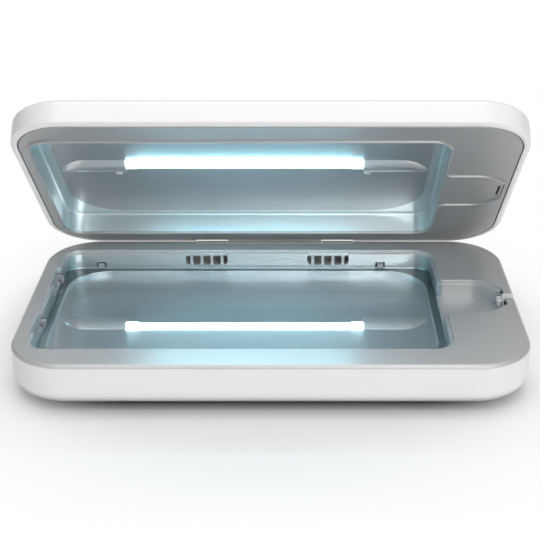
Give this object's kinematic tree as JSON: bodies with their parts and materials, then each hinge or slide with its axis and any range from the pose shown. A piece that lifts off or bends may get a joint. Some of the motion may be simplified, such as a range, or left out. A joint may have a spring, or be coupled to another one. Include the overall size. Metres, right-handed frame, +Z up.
{
  "type": "ultraviolet phone sanitizer box",
  "caption": "Hinged white clamshell box that disinfects a phone between an upper and a lower ultraviolet lamp, with a clear plate, vents and a cable pocket.",
  "frame": {"origin": "middle of the lower face of the resting pad, which is the face the box stands on", "axes": "+X to the right, +Y back to the hinge, +Z up; the lid stands 45 degrees open"},
  "size_m": [0.226, 0.1418, 0.1217],
  "materials": {
    "shell_white": "moulded, satin sheen",
    "liner_silver": "moulded and metallised, satin silver",
    "reflector_sheet": "rolled bright sheet",
    "quartz": "polished, clear",
    "lamp_glass": "clear tube",
    "cap_white": "heat proof, matte",
    "soft_white": "soft, matte",
    "soft_dark": "soft, matte",
    "steel": "plain bright steel",
    "magnet_plate": "nickel plated",
    "brass": "turned",
    "circuit_board": "solder mask",
    "black_plastic": "moulded",
    "light_lens": "milky lens"
  },
  "bodies": {
    "base": {"base_shell": "shell_white", "base_liner": "liner_silver", "base_reflector": "reflector_sheet", "clear_plate": "quartz", "lower_lamp_tube": "lamp_glass", "lower_lamp_caps": "cap_white", "lower_cover_left": "liner_silver", "lower_cover_right": "liner_silver", "rear_vent_left": "liner_silver", "rear_vent_right": "liner_silver", "side_vent_front": "liner_silver", "side_vent_rear": "liner_silver", "plate_clips": "soft_white", "cable_guard": "soft_white", "hinge_pin": "steel", "control_board": "circuit_board", "driver_board": "circuit_board", "charging_port_large": "steel", "charging_port_small": "steel", "power_inlet": "black_plastic", "lid_sensor": "black_plastic", "base_magnets": "magnet_plate", "base_pad": "soft_dark", "base_screws": "steel"},
    "lid": {"lid_shell": "shell_white", "lid_liner": "liner_silver", "lid_reflector": "reflector_sheet", "upper_lamp_tube": "lamp_glass", "upper_lamp_caps": "cap_white", "lamp_cover_left": "liner_silver", "lamp_cover_right": "liner_silver", "lamp_clips": "soft_white", "friction_sleeves": "brass", "lid_magnets": "magnet_plate", "lid_cable_seal": "soft_dark", "status_light": "light_lens", "status_board": "circuit_board"}
  },
  "joints": [
    {"name": "lid_hinge", "type": "hinge", "parent": "base", "child": "lid", "pos_m": [0, 0.065, 0.0195], "axis": [-1, 0, 0], "range_deg": [-45, 45]}
  ]
}
